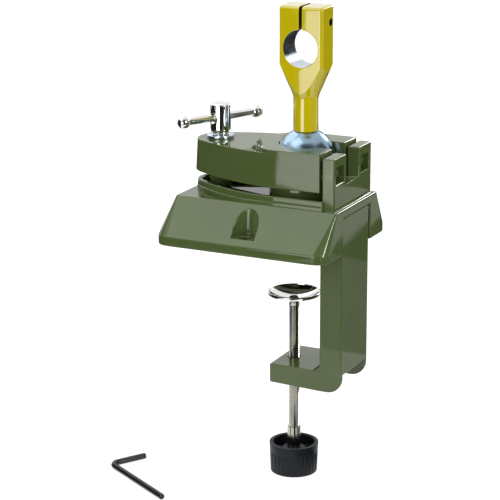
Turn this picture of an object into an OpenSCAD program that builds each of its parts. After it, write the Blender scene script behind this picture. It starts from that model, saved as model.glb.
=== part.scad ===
// Universal work holder: a tool collar on a lockable ball, on a base that clamps to a bench edge.
// Origin: on the bench plane under the base, on the axis of the clamp spindle.
// +X points to the clamp arm, -Y to the front, +Z up. Sizes in millimetres.

/* [Base] */
// Height of the deck above the bench
base_h = 24.6; // [22:0.2:30]
// Width of the deck
deck_w = 53.4; // [50:0.2:64]
// Width of the skirt where it stands on the bench
skirt_w = 84.2; // [78:0.2:100]
// Deck length beyond the clamp screw's axis
deck_nose = 13.6; // [13:0.2:20]
// How far the left end of the skirt leans out
left_flare = 6; // [3:0.5:12]
// Height of the upright rim at the foot of the skirt
rim_h = 4.8; // [3:0.2:7]
// Corner radius of the skirt at the bench
skirt_corner_r = 8; // [5:0.5:12]
// Corner radius of the deck
deck_corner_r = 1.2; // [0.6:0.2:2.4]
// Wall of the skirt
skirt_wall = 3.2; // [2.4:0.2:4.4]
// Thickness of the deck
deck_t = 4.6; // [3.6:0.2:6]
// Thickness of the ribs under the deck
rib_t = 3.2; // [2.4:0.2:4]

/* [Bench screws] */
// Clearance hole for a bench screw
bench_hole_d = 6.2; // [4.2:0.2:7]
// Diameter of the recess for its head
recess_d = 13.4; // [11:0.2:15]
// Distance from the middle line to each hole
bench_hole_y = 35.2; // [33.4:0.2:36]
// Distance from the spindle axis to the holes, to the left
bench_hole_x = 12.3; // [6:0.1:18]
// Height of the recess floor above the bench
recess_floor = 8.2; // [6:0.2:10]

/* [Platform and posts] */
// Height of the platform rim above the deck
platform_h = 5.2; // [4:0.2:7]
// How far the platform stands out beyond the jaw
platform_margin = 2.3; // [1:0.1:2.6]
// Wall of the platform rim
platform_wall = 2.6; // [1.8:0.1:3.4]
// Height of the pocket floor above the deck
pocket_floor = 1; // [-1.4:0.1:1.8]
// Height of the step round the foot of the platform
platform_step_h = 2.2; // [1:0.1:3]
// How far that step stands out beyond the rim
platform_step = 1.8; // [0.6:0.1:2.6]
// Nose radius of the platform
platform_nose_r = 12.6; // [11.4:0.1:13]
// How far the step stands out at the nose
platform_nose_step = 0.3; // [0.1:0.1:0.6]
// Flat left along the deck's edges beside the step
deck_lip = 0.15; // [0.1:0.05:0.6]
// Height of the posts above the deck
post_h = 28; // [26.5:0.1:32]
// Width over both posts
post_w = 49.3; // [46:0.1:52]
// Thickness of the posts
post_t = 6.8; // [4.6:0.1:8]
// Distance from the ball's axis to the posts' outer face
post_reach = 27.4; // [26:0.1:29.4]
// Distance from the posts' outer face to the end of the base
post_setback = 2.8; // [1.6:0.1:4]
// Width of each post's window
window_w = 11; // [8:0.2:12.4]
// Height of each post's window
window_h = 9; // [7:0.2:10]
// Height of the windows' middle above the notch floor
window_rise = 6.2; // [5.6:0.1:7]

/* [Ball] */
// Diameter of the ball
ball_d = 32; // [30:0.2:33]
// Offset of the ball's axis from the spindle axis
ball_x = 6.4; // [4:0.1:9]
// Height of the ball's centre above the deck
ball_rise = 21.6; // [20.6:0.1:22.4]
// Diameter of the stud that carries the holder
stud_d = 7; // [5:0.2:8]
// Length of the stud above the ball
stud_l = 14; // [8:0.5:16]
// Diameter of the seat block under the ball
seat_block_d = 39; // [34:0.5:43]

/* [Clamp jaw] */
// Width of the jaw
jaw_w = 48.2; // [46:0.1:49.6]
// Thickness of the jaw at the screw
jaw_t = 18.7; // [17:0.1:20]
// Height of the raised ring round the ball
ring_rise = 1.9; // [0.8:0.1:2.4]
// Radius of the raised ring
ring_r = 26.5; // [24.6:0.1:28]
// Gap between the platform rim and the jaw
jaw_gap = 3.9; // [3.4:0.1:4.6]
// Distance from the ball's axis to the clamp screw's axis
screw_reach = 50.8; // [47:0.1:56]
// Distance from the ball's axis to where the jaw's sides run straight
bow_setback = 6.4; // [4:0.2:10]
// Nose radius round the clamp screw
nose_r = 13; // [11.4:0.1:13.2]
// Depth of the relief pocket under the jaw
relief_depth = 9; // [4:0.5:11]
// Wall round the relief pocket
relief_wall = 4; // [3:0.2:6]
// Gap between the jaw's end and the posts
jaw_post_gap = 1.6; // [1.4:0.1:3]

/* [Clamp screw] */
// Thread diameter of the clamp screw
screw_d = 8; // [6:0.2:8.4]
// Diameter of the screw's head
head_d = 11; // [10:0.1:13]
// Height of the head above the washer
head_h = 17; // [14:0.1:22]
// Height of the cone under the head
head_cone_h = 3.2; // [2:0.1:4]
// Diameter where the cone meets the washer
head_foot_d = 9.6; // [9:0.1:10]
// Bevel at the top of the head
head_edge = 0.6; // [0.3:0.1:1]
// Depth of the countersinks of the cross hole
bar_hole_sink = 1.2; // [0.6:0.1:1.6]
// How far the clamp screw stands out below its nut
screw_tail = 3; // [1:0.5:4]
// Outer diameter of the washer
washer_d = 15; // [13:0.1:18]
// Thickness of the washer
washer_t = 1.8; // [1:0.1:2.6]
// Width across flats of the captive nut
nut_af = 13; // [12.6:0.1:15]
// Height of the captive nut
nut_h = 6.5; // [5:0.1:8]
// Diameter of the boss round the screw on the pocket floor
screw_boss_d = 12.4; // [11:0.1:16]

/* [Tommy bar] */
// Diameter of the bar
bar_d = 4; // [3:0.1:4.4]
// Distance between the centres of the end balls
bar_l = 48; // [40:0.5:60]
// Diameter of the end balls
bar_ball_d = 7; // [5.6:0.1:8]
// Height of the bar above the washer
bar_rise = 9.4; // [8:0.1:11]
// Angle of the bar from the X axis
bar_yaw = 62; // [0:1:180]

/* [Collar holder] */
// Bore for the tool's collar
collar_bore = 20; // [16:0.1:20.6]
// Height of the bore above the ball's centre
bore_rise = 59.5; // [56:0.1:66]
// Height of the holder's top above the bore
top_rise = 22.2; // [18.4:0.1:25]
// Width of the head
holder_w = 25.2; // [24:0.1:30]
// Thickness of the head
holder_t = 15.4; // [14:0.1:18]
// Corner radius of the head
holder_corner_r = 2; // [1:0.1:3]
// Diameter of the neck
neck_d = 13.4; // [11:0.1:13.6]
// Height of the neck's top above the ball's centre
neck_rise = 33.6; // [31.4:0.1:36]
// Height above the ball's centre where the taper meets the head
shoulder_rise = 47.4; // [44:0.1:54]
// Width of the slot through the top
slot_w = 1.8; // [1:0.1:2.4]
// Thread diameter of the pinch screw
pinch_d = 4; // [3:0.1:4.2]
// Head diameter of the pinch screw
pinch_head_d = 6.6; // [5.6:0.1:7]
// Head height of the pinch screw
pinch_head_h = 4; // [3:0.1:4.4]
// Height of the pinch screw above the top of the bore
pinch_rise = 3.4; // [2.8:0.1:5]
// Distance of the pinch screw behind the middle of the head
pinch_back = 3; // [0:0.1:3.2]
// How far the pinch screw stops short of the ear's far side
pinch_recess = 2.4; // [1:0.1:4]

/* [Clamp arm] */
// Width of the arm
arm_w = 35.6; // [30:0.2:38]
// Depth of the arm's leg
arm_d = 12.8; // [11:0.1:15]
// Wall of the arm
arm_wall = 3; // [2.2:0.1:3.6]
// How far the arm's outer face lies inside the end of the base
arm_inset = 0.8; // [0.2:0.1:1.4]
// Distance from the bench plane down to the top of the foot
throat_h = 66.3; // [62:0.1:80]
// How far the foot reaches beyond the spindle axis
foot_tip = 6.6; // [5:0.1:12]
// Thickness of the foot at its tip
foot_tip_t = 10.6; // [8.6:0.1:11.6]
// Thickness of the foot at the heel
foot_heel_t = 11.6; // [10.6:0.1:15]
// Radius of the heel
heel_r = 8.5; // [5:0.1:10]
// Radius of the inner corner between leg and foot
throat_r = 4.6; // [2:0.1:6]
// Thread diameter of the screws that hold the arm
arm_screw_d = 5; // [4:0.1:6]
// Spacing of those screws
arm_screw_pitch = 18; // [14:0.5:22]

/* [Spindle] */
// Thread diameter of the spindle
spindle_d = 6; // [5:0.1:7]
// Distance from the bench plane down to the pressure plate's rim
plate_drop = 29; // [12:0.1:34]
// Diameter of the pressure plate
plate_d = 28.8; // [24:0.2:34]
// Spherical radius of the pressure plate's hollow
plate_dish_r = 27; // [22:0.5:40]
// Thickness of the pressure plate
plate_t = 1.3; // [1:0.1:2]
// Diameter of the rivet that holds the plate
rivet_d = 3.2; // [2.4:0.1:3.8]
// Depth of the rivet in the spindle
rivet_depth = 4; // [3:0.5:6]
// Distance from the pressure plate's rim down to the knob's rim
spindle_l = 87.4; // [82:0.1:110]
// Outer diameter of the bush in the foot
bush_d = 11; // [9.4:0.1:13]

/* [Knob] */
// Diameter of the knob at its rim
knob_d = 27.2; // [23:0.1:32]
// Diameter of the knob at its outer end
knob_end_d = 25.8; // [22:0.1:32]
// Height of the knob
knob_h = 16.8; // [15:0.1:24]
// Wall round the knob's hollow
knob_wall = 2.1; // [1.6:0.1:3]
// Depth of the knob's hollow
knob_hollow = 9; // [6:0.1:11]
// Diameter of the knob's hub
knob_hub_d = 12.6; // [11:0.1:15]
// Number of flutes round the knob
flutes = 28; // [18:1:36]
// Distance of the flutes' centres outside the knob's rim
flute_out = 0.1; // [0:0.1:0.4]
// Height of the smooth band at the knob's rim
knob_band = 5; // [3:0.5:7]
// Thickness of the knob's floor under the spindle
knob_floor = 3.4; // [2.4:0.1:5]
// Distance from the knob's rim down to the top of its hub
hub_drop = 3.4; // [2:0.1:4.4]
// Number of webs inside the knob
webs = 6; // [4:1:8]
// Thickness of the webs
web_t = 1.4; // [1:0.1:2]
// How far the webs stay below the hub's top
web_drop = 2; // [1:0.1:3]
// Height of the splines above the spindle's thread
spline_rise = 0.7; // [0.4:0.1:1.2]
// Number of splines
splines = 10; // [8:1:14]
// Length of the splines above the knob's rim
spline_show = 9; // [6:0.5:11]
// Depth of the splines in the knob's hub
spline_bite = 4; // [3:0.5:6]

/* [Hex key] */
// Width across flats of the key
key_af = 3; // [2.5:0.5:4]
// Length of the short leg
key_short = 22; // [14:0.5:30]
// Length of the long leg
key_long = 56.5; // [40:0.5:80]
// Place of the key's bend, to the left of the spindle axis
key_x = 94; // [80:0.5:120]
// Place of the key's bend, in front of the spindle axis
key_y = 41; // [20:0.5:60]
// Angle of the long leg from the X axis
key_yaw = -31; // [-90:1:0]

/* [Clearances] */
// Radial clearance of a screw or pin in a hole that guides it
guide_clear = 0.05; // [0.02:0.01:0.08]
// Clearance round the ball in its seat
seat_clear = 0.15; // [0.1:0.05:0.4]
// Clearance round the ball in the jaw
jaw_ball_clear = 0.35; // [0.3:0.05:0.6]
// Clearance between pieces that pass each other
pass_clear = 0.4; // [0.3:0.05:0.6]
// Radial clearance of the clamp screw in the jaw
jaw_hole_clear = 0.9; // [0.8:0.1:1.2]
// Room between the neck and the side of the slot
neck_room = 1.65; // [1:0.05:2.4]
// Room below the neck when it lies in the notch
notch_room = 2.95; // [1:0.05:3.8]
// Clearance of each tab in its window
tab_clear = 0.5; // [0.4:0.05:0.8]
// How far the tabs stop short of the posts' outer face
tab_recess = 2.8; // [1.6:0.1:3.4]

/* [Hidden] */
$fn = 72;
over = 1;
hull_fn = 32;
arc_steps = 12;

// Paint and metal colours
green = [0.33, 0.39, 0.26];
yellow = [0.74, 0.68, 0.02];
chrome = [0.80, 0.81, 0.82];
zinc = [0.66, 0.72, 0.78];
nickel = [0.70, 0.68, 0.62];
black = [0.10, 0.11, 0.12];

// Places along X
screw_x = ball_x - screw_reach;
post_out = ball_x + post_reach;
post_in = post_out - post_t;
base_end = post_out + post_setback;
deck_end_left = screw_x - deck_nose;
jaw_end = post_in - jaw_post_gap;
arm_out = base_end - arm_inset;
arm_in = arm_out - arm_d;

// Heights
deck_under = base_h - deck_t;
ball_z = base_h + ball_rise;
rim_top = base_h + platform_h;
floor_z = base_h + pocket_floor;
jaw_bottom = rim_top + jaw_gap;
jaw_top = jaw_bottom + jaw_t;
ring_top = jaw_top + ring_rise;
seat_top = jaw_bottom - 2 * pass_clear;
post_top = base_h + post_h;
washer_top = jaw_top + washer_t;
notch_w = neck_d + 2 * neck_room;
notch_floor = ball_z - neck_d / 2 - notch_room;
bar_z = washer_top + bar_rise;

// Tabs and windows
window_y = (notch_w / 2 + post_w / 2) / 2;
window_z = notch_floor + window_rise;
tab_r = window_h / 2 - tab_clear;
tab_w = window_w - 2 * tab_clear;
tab_x = post_out - tab_recess - tab_r;

// Spindle train, from the pressure plate down
plate_rim = -plate_drop;
dish_depth = plate_dish_r - sqrt(plate_dish_r * plate_dish_r - plate_d * plate_d / 4);
dish_z = plate_rim - dish_depth;
plate_under = dish_z - plate_t;
spindle_top = plate_under - 3 * guide_clear;
knob_rim = plate_rim - spindle_l;
knob_end = knob_rim - knob_h;
hub_top = knob_rim - hub_drop;
spline_d = spindle_d + 2 * spline_rise;
spline_root_d = spindle_d + spline_rise / 2;
spline_top = knob_rim + spline_show;
spline_end = hub_top - spline_bite;
spindle_end = knob_end + knob_floor;
foot_top = -throat_h;
foot_under = foot_top - foot_heel_t;
bush_top = foot_top - arm_wall;
bush_end = foot_top - foot_tip_t;

// Pinch screw
bore_z = ball_z + bore_rise;
pinch_z = bore_z + collar_bore / 2 + pinch_rise;
holder_top = bore_z + top_rise;
pinch_seat_x = ball_x - holder_w / 2 + pinch_head_h + pass_clear;

// Arm screws
arm_screw_z = deck_under / 2;
arm_head_d = arm_screw_d * 1.8;
arm_head_h = arm_screw_d * 0.62;
arm_washer_t = 1.2;
arm_rib_in = arm_in - rib_t;

// Shared shapes

// Outline of the jaw, its sides grown by a margin: a round nose, bowed sides, then straight to x_end.
function boat_points(margin, nose, x_end) =
    let (half = jaw_w / 2 + margin,
         run = ball_x - screw_x - bow_setback,
         bow = (run * run + half * half - nose * nose) / (2 * (half - nose)),
         side_start = asin(run / (bow - nose)))
    concat(
        [[x_end, half]],
        [for (i = [0:arc_steps])
            let (a = side_start * i / arc_steps)
            [screw_x + run - bow * sin(a), half - bow + bow * cos(a)]],
        [for (i = [1:2 * arc_steps - 1])
            let (a = 90 + side_start + (180 - 2 * side_start) * i / (2 * arc_steps))
            [screw_x + nose * cos(a), nose * sin(a)]],
        [for (i = [0:arc_steps])
            let (a = side_start * (1 - i / arc_steps))
            [screw_x + run - bow * sin(a), bow - half - bow * cos(a)]],
        [[x_end, -half]]);

module boat(margin, nose, x_end) {
    polygon(boat_points(margin, nose, x_end));
}

// Rounded rectangle about the origin, from squares and circles.
module rounded_plan(w, d, r) {
    square([w - 2 * r, d], center = true);
    square([w, d - 2 * r], center = true);
    for (x = [-1, 1], y = [-1, 1])
        translate([x * (w / 2 - r), y * (d / 2 - r)]) circle(r = r);
}

// Cylinder along X that starts at x.
module along_x(x, d, l) {
    translate([x, 0, 0]) rotate([0, 90, 0]) cylinder(d = d, h = l);
}

// Four-cornered body of the skirt, drawn in by inset and lowered from the deck by drop.
module skirt_body(inset, drop, foot) {
    top_r = max(deck_corner_r - inset / 2, 0.3);
    low_r = max(skirt_corner_r - inset, 1);
    lean = (skirt_w - deck_w) / 2 / (base_h - rim_h);
    left_lean = left_flare / (base_h - rim_h);
    hull() {
        for (side = [-1, 1]) {
            top_y = deck_w / 2 + drop * lean - inset - top_r;
            low_y = skirt_w / 2 - inset - low_r;
            for (x = [deck_end_left - drop * left_lean + inset + top_r, base_end - inset - top_r])
                translate([x, side * top_y, base_h - drop - over])
                    cylinder(r = top_r, h = over, $fn = hull_fn);
            for (x = [deck_end_left - left_flare + inset + low_r, base_end - inset - low_r])
                translate([x, side * low_y, -foot])
                    cylinder(r = low_r, h = rim_h + foot - inset / 3, $fn = hull_fn);
        }
    }
}

// Base

module skirt_ribs() {
    depth = deck_under + over;
    rib_run = base_end - deck_end_left + 2 * left_flare;
    translate([deck_end_left - left_flare, -rib_t / 2, 0]) cube([rib_run, rib_t, depth]);
    for (x = [0, screw_x / 2, screw_x])
        translate([x - rib_t / 2, -skirt_w / 2, 0]) cube([rib_t, skirt_w, depth]);
    socket_w = arm_w + 2 * pass_clear + 2 * rib_t;
    translate([arm_rib_in, -socket_w / 2, 0]) cube([base_end - arm_rib_in, socket_w, depth]);
    translate([screw_x, 0, deck_under - nut_h]) cylinder(d = nut_af / cos(30) + 2 * rib_t, h = nut_h + over);
    for (side = [-1, 1])
        translate([-bench_hole_x, side * bench_hole_y, 0]) cylinder(d = recess_d + 2 * rib_t, h = depth);
}

module skirt() {
    difference() {
        skirt_body(0, 0, 0);
        skirt_body(skirt_wall, deck_t, over);
    }
    intersection() {
        skirt_body(0, 0, 0);
        skirt_ribs();
    }
}

module platform_step_plan() {
    intersection() {
        boat(platform_margin + platform_step, platform_nose_r + platform_nose_step, post_in + over);
        translate([2 * screw_x, deck_lip - deck_w / 2]) square([4 * screw_reach, deck_w - 2 * deck_lip]);
    }
}

module platform() {
    translate([0, 0, base_h - over]) {
        linear_extrude(platform_h + over) boat(platform_margin, platform_nose_r, post_in + over);
        linear_extrude(platform_step_h + over) platform_step_plan();
    }
}

module platform_pocket() {
    translate([0, 0, floor_z]) linear_extrude(rim_top - floor_z + over)
        boat(platform_margin - platform_wall, platform_nose_r - platform_wall, post_in - over);
}

module seats() {
    translate([screw_x, 0, deck_under]) cylinder(d = screw_boss_d, h = jaw_bottom - deck_under - pass_clear);
    translate([ball_x, 0, deck_under]) cylinder(d = seat_block_d, h = seat_top - deck_under);
}

module posts() {
    difference() {
        translate([post_in, -post_w / 2, base_h - over]) cube([post_t, post_w, post_h + over]);
        translate([post_in - over, -notch_w / 2, notch_floor]) cube([post_t + 2 * over, notch_w, post_h]);
        for (side = [-1, 1])
            translate([post_in - over, side * window_y - window_w / 2, window_z - window_h / 2])
                cube([post_t + 2 * over, window_w, window_h]);
    }
}

module bench_screw_recess(side) {
    translate([-bench_hole_x, side * bench_hole_y, 0]) {
        translate([0, 0, -over]) cylinder(d = bench_hole_d, h = base_h);
        translate([0, 0, recess_floor]) cylinder(d = recess_d, h = base_h);
        translate([-recess_d / 2, side > 0 ? 0 : -recess_d, recess_floor]) cube([recess_d, recess_d, base_h]);
    }
}

module base_casting() {
    arm_pocket_w = arm_w + 2 * pass_clear;
    color(green) difference() {
        union() {
            difference() {
                union() {
                    skirt();
                    platform();
                }
                platform_pocket();
            }
            seats();
            posts();
        }
        translate([ball_x, 0, ball_z]) sphere(d = ball_d + 2 * seat_clear);
        translate([screw_x, 0, -over]) cylinder(d = screw_d + 2 * pass_clear, h = jaw_bottom + 2 * over);
        translate([screw_x, 0, -over])
            cylinder(d = (nut_af + 2 * guide_clear) / cos(30), h = deck_under + over, $fn = 6);
        translate([arm_in, -arm_pocket_w / 2, -over])
            cube([arm_d + 2 * over, arm_pocket_w, deck_under + over]);
        for (side = [-1, 1]) {
            bench_screw_recess(side);
            translate([0, side * arm_screw_pitch / 2, arm_screw_z])
                along_x(arm_rib_in - over, arm_screw_d + 2 * pass_clear, rib_t + 2 * over);
        }
    }
}

// Clamp jaw with its two tabs

module jaw_body() {
    translate([0, 0, jaw_bottom]) linear_extrude(jaw_t) boat(0, nose_r, jaw_end);
    translate([0, 0, jaw_bottom]) linear_extrude(jaw_t + ring_rise) intersection() {
        boat(0, nose_r, jaw_end);
        union() {
            translate([ball_x, 0]) circle(r = ring_r);
            translate([ball_x, -jaw_w]) square([post_reach, 2 * jaw_w]);
        }
    }
    for (side = [-1, 1])
        translate([0, side * window_y - tab_w / 2, window_z]) {
            translate([jaw_end - over, 0, -tab_r]) cube([tab_x - jaw_end + over, tab_w, 2 * tab_r]);
            translate([tab_x, 0, 0]) rotate([-90, 0, 0]) cylinder(r = tab_r, h = tab_w);
        }
}

module jaw_relief() {
    relief_start = screw_x + screw_d / 2 + jaw_hole_clear + relief_wall;
    relief_end = ball_x - ball_d / 2 - jaw_ball_clear - relief_wall;
    translate([0, 0, jaw_bottom - over]) linear_extrude(relief_depth + over) intersection() {
        boat(-relief_wall, nose_r - relief_wall, jaw_end);
        translate([relief_start, -jaw_w / 2]) square([relief_end - relief_start, jaw_w]);
    }
}

module clamp_jaw() {
    cavity_d = ball_d + 2 * jaw_ball_clear;
    color(green) difference() {
        jaw_body();
        translate([ball_x, 0, ball_z]) sphere(d = cavity_d);
        translate([ball_x, 0, jaw_bottom - over]) cylinder(d = cavity_d, h = ball_z - jaw_bottom + over);
        translate([ball_x, -notch_w / 2, jaw_bottom - over]) cube([jaw_end, notch_w, ring_top]);
        translate([screw_x, 0, jaw_bottom - over]) cylinder(d = screw_d + 2 * jaw_hole_clear, h = ring_top);
        jaw_relief();
    }
}

// Clamp screw, washer, tommy bar and captive nut

module bar_axis() {
    translate([screw_x, 0, bar_z]) rotate([0, 0, bar_yaw]) children();
}

module clamp_screw() {
    bar_hole_d = bar_d + 4 * guide_clear;
    color(chrome) difference() {
        translate([screw_x, 0, 0]) {
            translate([0, 0, washer_top])
                cylinder(d1 = head_foot_d, d2 = head_d, h = head_cone_h);
            translate([0, 0, washer_top + head_cone_h])
                cylinder(d = head_d, h = head_h - head_cone_h - head_edge);
            translate([0, 0, washer_top + head_h - head_edge])
                cylinder(d1 = head_d, d2 = head_d - 2 * head_edge, h = head_edge);
            translate([0, 0, deck_under - nut_h - screw_tail])
                cylinder(d = screw_d, h = washer_top + over - deck_under + nut_h + screw_tail);
        }
        bar_axis() {
            along_x(-head_d, bar_hole_d, 2 * head_d);
            for (side = [-1, 1])
                rotate([0, side * 90, 0]) translate([0, 0, head_d / 2 - bar_hole_sink])
                    cylinder(d1 = bar_hole_d, d2 = bar_hole_d + 4 * bar_hole_sink, h = 2 * bar_hole_sink);
        }
    }
}

module screw_washer() {
    color(zinc) translate([screw_x, 0, jaw_top]) difference() {
        cylinder(d = washer_d, h = washer_t);
        translate([0, 0, -over]) cylinder(d = screw_d + pass_clear, h = washer_t + 2 * over);
    }
}

module tommy_bar() {
    color(chrome) bar_axis() along_x(-bar_l / 2, bar_d, bar_l);
}

module bar_end_balls() {
    color(chrome) bar_axis() for (side = [-1, 1]) difference() {
        translate([side * bar_l / 2, 0, 0]) sphere(d = bar_ball_d);
        along_x(-bar_l / 2, bar_d + guide_clear, bar_l);
    }
}

module screw_nut() {
    color(zinc) translate([screw_x, 0, deck_under - nut_h]) difference() {
        cylinder(d = nut_af / cos(30), h = nut_h, $fn = 6);
        translate([0, 0, -over]) cylinder(d = screw_d + 2 * guide_clear, h = nut_h + 2 * over);
    }
}

// Ball and collar holder

module ball_stud() {
    color(zinc) translate([ball_x, 0, ball_z]) {
        sphere(d = ball_d);
        cylinder(d = stud_d, h = ball_d / 2 + stud_l);
    }
}

// Neck, taper and head: a turned shape cut flat at the front and back, with round top corners.
module holder_body() {
    neck_top = ball_z + neck_rise;
    grow = (holder_w - neck_d) / 2 / (shoulder_rise - neck_rise);
    wide_r = holder_w;
    wide_z = neck_top + (wide_r - neck_d / 2) / grow;
    slab_h = 2 * (holder_top - ball_z);
    translate([ball_x, 0, 0]) intersection() {
        rotate_extrude() polygon([
            [0, ball_z], [neck_d / 2, ball_z], [neck_d / 2, neck_top],
            [wide_r, wide_z], [wide_r, wide_z + holder_top], [0, wide_z + holder_top]
        ]);
        translate([0, 0, holder_top - slab_h / 2]) rotate([90, 0, 0])
            linear_extrude(holder_t, center = true) rounded_plan(holder_w, slab_h, holder_corner_r);
    }
}

module collar_holder() {
    ear_x = ball_x - holder_w / 2;
    color(yellow) difference() {
        holder_body();
        translate([ball_x, 0, ball_z]) sphere(d = ball_d + 2 * seat_clear);
        translate([ball_x, 0, ball_z])
            cylinder(d = stud_d + 2 * guide_clear, h = ball_d / 2 + stud_l + pass_clear);
        translate([ball_x, 0, bore_z]) rotate([90, 0, 0])
            cylinder(d = collar_bore, h = 2 * holder_t, center = true);
        translate([ball_x - slot_w / 2, -holder_t, bore_z]) cube([slot_w, 2 * holder_t, top_rise + over]);
        translate([0, pinch_back, pinch_z]) {
            along_x(ear_x - over, pinch_head_d + 2 * pass_clear, pinch_seat_x - ear_x + over);
            along_x(ear_x, pinch_d + pass_clear, holder_w / 2);
            along_x(ball_x - over, pinch_d + 2 * guide_clear, holder_w);
        }
    }
}

module pinch_screw() {
    socket_depth = pinch_head_h / 2;
    reach = ball_x + holder_w / 2 - pinch_recess - pinch_seat_x;
    color(zinc) translate([0, pinch_back, pinch_z]) difference() {
        union() {
            along_x(pinch_seat_x - pinch_head_h, pinch_head_d, pinch_head_h);
            along_x(pinch_seat_x - over, pinch_d, reach + over);
        }
        translate([pinch_seat_x - pinch_head_h - over, 0, 0]) rotate([0, 90, 0])
            cylinder(d = key_af / cos(30), h = socket_depth + over, $fn = 6);
    }
}

// Clamp arm and its fasteners

// Side outline of the arm: leg, rounded heel and tapering foot.
module arm_outline() {
    difference() {
        polygon([
            [arm_in, deck_under], [arm_in, foot_top], [-foot_tip, foot_top],
            [-foot_tip, foot_top - foot_tip_t], [arm_in, foot_under],
            [arm_out, foot_under], [arm_out, deck_under]
        ]);
        translate([arm_out - heel_r, foot_under + heel_r]) difference() {
            translate([0, -2 * heel_r]) square(2 * heel_r);
            circle(r = heel_r);
        }
    }
    translate([arm_in - throat_r, foot_top - over]) difference() {
        square([throat_r, throat_r + over]);
        translate([0, throat_r + over]) circle(r = throat_r);
    }
}

module arm_hollow() {
    inner_w = arm_w - 2 * arm_wall;
    low = foot_under - over;
    translate([arm_in + arm_wall, -inner_w / 2, low])
        cube([arm_d - 2 * arm_wall, inner_w, deck_under - arm_wall - low]);
    difference() {
        translate([arm_wall - foot_tip, -inner_w / 2, low])
            cube([arm_out - arm_wall + foot_tip - arm_wall, inner_w, bush_top - low]);
        translate([0, 0, low]) cylinder(d = bush_d + 2 * arm_wall, h = bush_top - low);
    }
    translate([arm_in + arm_wall, -inner_w / 2, low])
        cube([arm_d, inner_w, foot_under + heel_r + over + over / 2 - low]);
}

module clamp_arm() {
    color(green) difference() {
        translate([0, arm_w / 2, 0]) rotate([90, 0, 0]) linear_extrude(arm_w) arm_outline();
        arm_hollow();
        translate([0, 0, foot_under - over])
            cylinder(d = spindle_d + 2 * pass_clear, h = foot_heel_t + 2 * over);
        translate([0, 0, foot_under - over])
            cylinder(d = bush_d + 2 * guide_clear, h = bush_top - foot_under + over);
        for (side = [-1, 1])
            translate([0, side * arm_screw_pitch / 2, arm_screw_z])
                along_x(arm_in - over, arm_screw_d + 2 * guide_clear, arm_wall + 2 * over);
    }
}

module arm_screws() {
    seat_x = arm_rib_in - arm_washer_t;
    color(zinc) for (side = [-1, 1]) translate([0, side * arm_screw_pitch / 2, arm_screw_z]) difference() {
        union() {
            along_x(seat_x - arm_head_h, arm_head_d, arm_head_h);
            along_x(seat_x - over, arm_screw_d, over + arm_washer_t + rib_t + arm_wall + arm_screw_d / 3);
        }
        translate([seat_x - arm_head_h - over, 0, 0]) rotate([0, 90, 0])
            cylinder(d = arm_screw_d / 2 / cos(30), h = arm_head_h / 2 + over, $fn = 6);
    }
}

module arm_washers() {
    color(zinc) for (side = [-1, 1]) translate([0, side * arm_screw_pitch / 2, arm_screw_z]) difference() {
        along_x(arm_rib_in - arm_washer_t, arm_head_d + over, arm_washer_t);
        along_x(arm_rib_in - arm_washer_t - over, arm_screw_d + pass_clear, arm_washer_t + 2 * over);
    }
}

// Spindle, pressure plate, bush and knob

// Outline of the splined end: a ring of blunt teeth.
function spline_points() =
    let (step = 360 / splines)
    [for (i = [0:splines - 1], k = [0:3])
        let (a = i * step + step * [-0.3, -0.17, 0.17, 0.3][k],
             r = (k == 0 || k == 3 ? spline_root_d : spline_d) / 2)
        [r * cos(a), r * sin(a)]];

module spindle() {
    color(nickel) difference() {
        union() {
            translate([0, 0, spindle_end]) cylinder(d = spindle_d, h = spindle_top - spindle_end);
            translate([0, 0, spline_end]) linear_extrude(spline_top - spline_end) polygon(spline_points());
        }
        translate([0, 0, spindle_top - rivet_depth]) cylinder(d = rivet_d, h = rivet_depth + over);
    }
}

module spindle_bush() {
    color(zinc) translate([0, 0, bush_end]) difference() {
        cylinder(d = bush_d, h = bush_top - bush_end);
        translate([0, 0, -over])
            cylinder(d = spindle_d + 2 * guide_clear, h = bush_top - bush_end + 2 * over);
    }
}

module pressure_plate() {
    color(chrome) difference() {
        intersection() {
            translate([0, 0, dish_z + plate_dish_r]) sphere(r = plate_dish_r + plate_t);
            translate([0, 0, plate_under]) cylinder(d = plate_d, h = dish_depth + plate_t);
        }
        translate([0, 0, dish_z + plate_dish_r]) sphere(r = plate_dish_r);
        translate([0, 0, plate_under - over])
            cylinder(d = rivet_d + 2 * guide_clear, h = dish_depth + plate_t);
    }
}

module plate_rivet() {
    head_r = rivet_d;
    color(chrome) {
        translate([0, 0, spindle_top - rivet_depth])
            cylinder(d = rivet_d, h = dish_z - spindle_top + rivet_depth + over);
        intersection() {
            translate([0, 0, dish_z + pass_clear]) cylinder(r = head_r, h = head_r);
            translate([0, 0, dish_z + pass_clear - head_r]) sphere(r = 1.5 * head_r);
        }
    }
}

module knob_shell() {
    difference() {
        translate([0, 0, knob_end]) cylinder(d1 = knob_end_d, d2 = knob_d, h = knob_h);
        translate([0, 0, knob_rim - knob_hollow])
            cylinder(d = knob_d - 2 * knob_wall, h = knob_hollow + over);
        for (i = [0:flutes - 1])
            rotate([0, 0, i * 360 / flutes]) translate([knob_d / 2 + flute_out, 0, knob_end - over])
                cylinder(r = knob_d / flutes, h = knob_h - knob_band + over, $fn = 16);
    }
}

module clamp_knob() {
    color(black) difference() {
        union() {
            knob_shell();
            translate([0, 0, knob_end + over]) cylinder(d = knob_hub_d, h = hub_top - knob_end - over);
            intersection() {
                translate([0, 0, knob_end + over]) cylinder(d = knob_d - knob_wall, h = knob_h);
                for (i = [0:webs - 1])
                    rotate([0, 0, i * 360 / webs]) translate([0, -web_t / 2, knob_end + over])
                        cube([knob_d, web_t, hub_top - knob_end - web_drop]);
            }
        }
        translate([0, 0, spindle_end]) cylinder(d = spindle_d + guide_clear, h = knob_h);
        translate([0, 0, spline_end]) cylinder(d = spline_d + guide_clear, h = knob_h);
    }
}

// Hex key that lies beside the knob, on the surface that the knob stands on

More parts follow.
